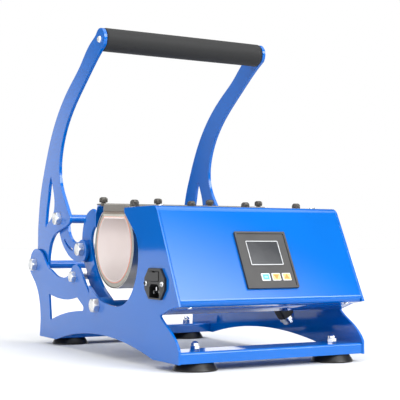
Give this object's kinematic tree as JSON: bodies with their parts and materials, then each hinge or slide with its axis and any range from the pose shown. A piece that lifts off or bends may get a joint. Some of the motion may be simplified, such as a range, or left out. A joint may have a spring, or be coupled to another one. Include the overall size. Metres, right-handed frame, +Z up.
{
  "type": "mug heat press",
  "caption": "Clamp-action press that wraps a heating sleeve round a mug or tumbler, with a sloped control box in front and a lever handle above.",
  "frame": {"origin": "on the ground, under the middle of the bounding box", "axes": "+X to the right of a person facing the control panel, +Y to the rear, +Z up"},
  "size_m": [0.2628, 0.4721, 0.4157],
  "materials": {
    "blue_paint": "glossy powder coat",
    "foot_rubber": "matte black rubber",
    "zinc": "bright zinc plate",
    "chrome": "polished",
    "black_plastic": "fine matte",
    "screen_window": "clear dark acrylic",
    "screen_dark": "unlit screen",
    "circuit_board": "solder mask",
    "inlet_plastic": "satin black",
    "pin_metal": "nickel plated",
    "relay_plastic": "matte",
    "stainless": "bright rolled sheet",
    "black_steel": "black oxide, knurled",
    "silicone_sponge": "closed-cell sponge",
    "heating_mat": "smooth silicone",
    "foam": "fine closed-cell foam",
    "button_blue": "moulded",
    "button_orange": "moulded"
  },
  "bodies": {
    "stand": {"left_side_plate": "blue_paint", "right_side_plate": "blue_paint", "front_foot_beam": "blue_paint", "rear_foot_beam": "blue_paint", "suction_feet": "foot_rubber", "foot_studs": "zinc", "foot_acorn_nuts": "chrome", "lever_pivot_rod": "blue_paint", "jaw_pivot_rod": "blue_paint", "stand_pivot_bolts": "zinc", "lever_pivot_washers": "zinc", "jaw_pivot_spacers": "blue_paint", "jaw_stop_bolts": "zinc", "stop_lock_nuts": "zinc", "front_cover": "blue_paint", "bottom_cover": "blue_paint", "box_rear_panel": "blue_paint", "cover_screws": "chrome", "display_bezel": "black_plastic", "display_window": "screen_window", "lcd_module": "screen_dark", "control_board": "circuit_board", "tact_switches": "black_plastic", "power_inlet": "inlet_plastic", "inlet_pins": "pin_metal", "inlet_screws": "zinc", "power_relay": "relay_plastic", "terminal_block": "relay_plastic", "heater_socket": "inlet_plastic", "heater_plug": "chrome", "front_clamp_strip": "stainless", "front_clamp_screws": "black_steel", "sleeve_front_band": "stainless", "sleeve_front_sponge": "silicone_sponge", "sleeve_front_mat": "heating_mat"},
    "lever": {"left_lever_arm": "blue_paint", "right_lever_arm": "blue_paint", "handle_tube": "zinc", "foam_grip": "foam", "handle_bolts": "zinc", "lift_rod": "blue_paint", "lift_bolts": "zinc"},
    "link": {"left_link": "blue_paint", "right_link": "blue_paint", "link_bolts": "zinc"},
    "jaw": {"left_jaw_plate": "blue_paint", "right_jaw_plate": "blue_paint", "jaw_cross_plate": "blue_paint", "jaw_link_spacers": "blue_paint", "jaw_link_nuts": "zinc", "rear_clamp_strap": "stainless", "rear_clamp_screws": "black_steel", "sleeve_rear_band": "stainless", "sleeve_rear_sponge": "silicone_sponge", "sleeve_rear_mat": "heating_mat"},
    "set_button": {"set_button": "button_blue"},
    "down_button": {"down_button": "button_orange"},
    "up_button": {"up_button": "button_orange"},
    "fuse_drawer": {"fuse_drawer": "inlet_plastic", "fuse_cartridge": "pin_metal"}
  },
  "joints": [
    {"name": "lever_pull", "type": "hinge", "parent": "stand", "child": "lever", "pos_m": [0, 0.214, 0.11], "axis": [1, 0, 0], "range_deg": [0, 25]},
    {"name": "jaw_swing", "type": "hinge", "parent": "stand", "child": "jaw", "pos_m": [0, -0.0095, 0.0623], "axis": [1, 0, 0], "range_deg": [0, 20.5]},
    {"name": "link_swing", "type": "hinge", "parent": "lever", "child": "link", "pos_m": [0, 0.13, 0.1745], "axis": [1, 0, 0], "range_deg": [-71, 0]},
    {"name": "set_button_press", "type": "slide", "parent": "stand", "child": "set_button", "axis": [0, 0.8932, -0.4497], "range_m": [0, 0.0008], "stiffness_N_per_m": 1200, "springref_m": -0.0006},
    {"name": "down_button_press", "type": "slide", "parent": "stand", "child": "down_button", "axis": [0, 0.8932, -0.4497], "range_m": [0, 0.0008], "stiffness_N_per_m": 1200, "springref_m": -0.0006},
    {"name": "up_button_press", "type": "slide", "parent": "stand", "child": "up_button", "axis": [0, 0.8932, -0.4497], "range_m": [0, 0.0008], "stiffness_N_per_m": 1200, "springref_m": -0.0006},
    {"name": "fuse_drawer_slide", "type": "slide", "parent": "stand", "child": "fuse_drawer", "axis": [-1, 0, 0], "range_m": [0, 0.012]}
  ],
  "couplings": [
    {"joint": "jaw_swing", "follows": "lever_pull", "ratio": 0.81439},
    {"joint": "link_swing", "follows": "lever_pull", "ratio": -2.8322}
  ]
}
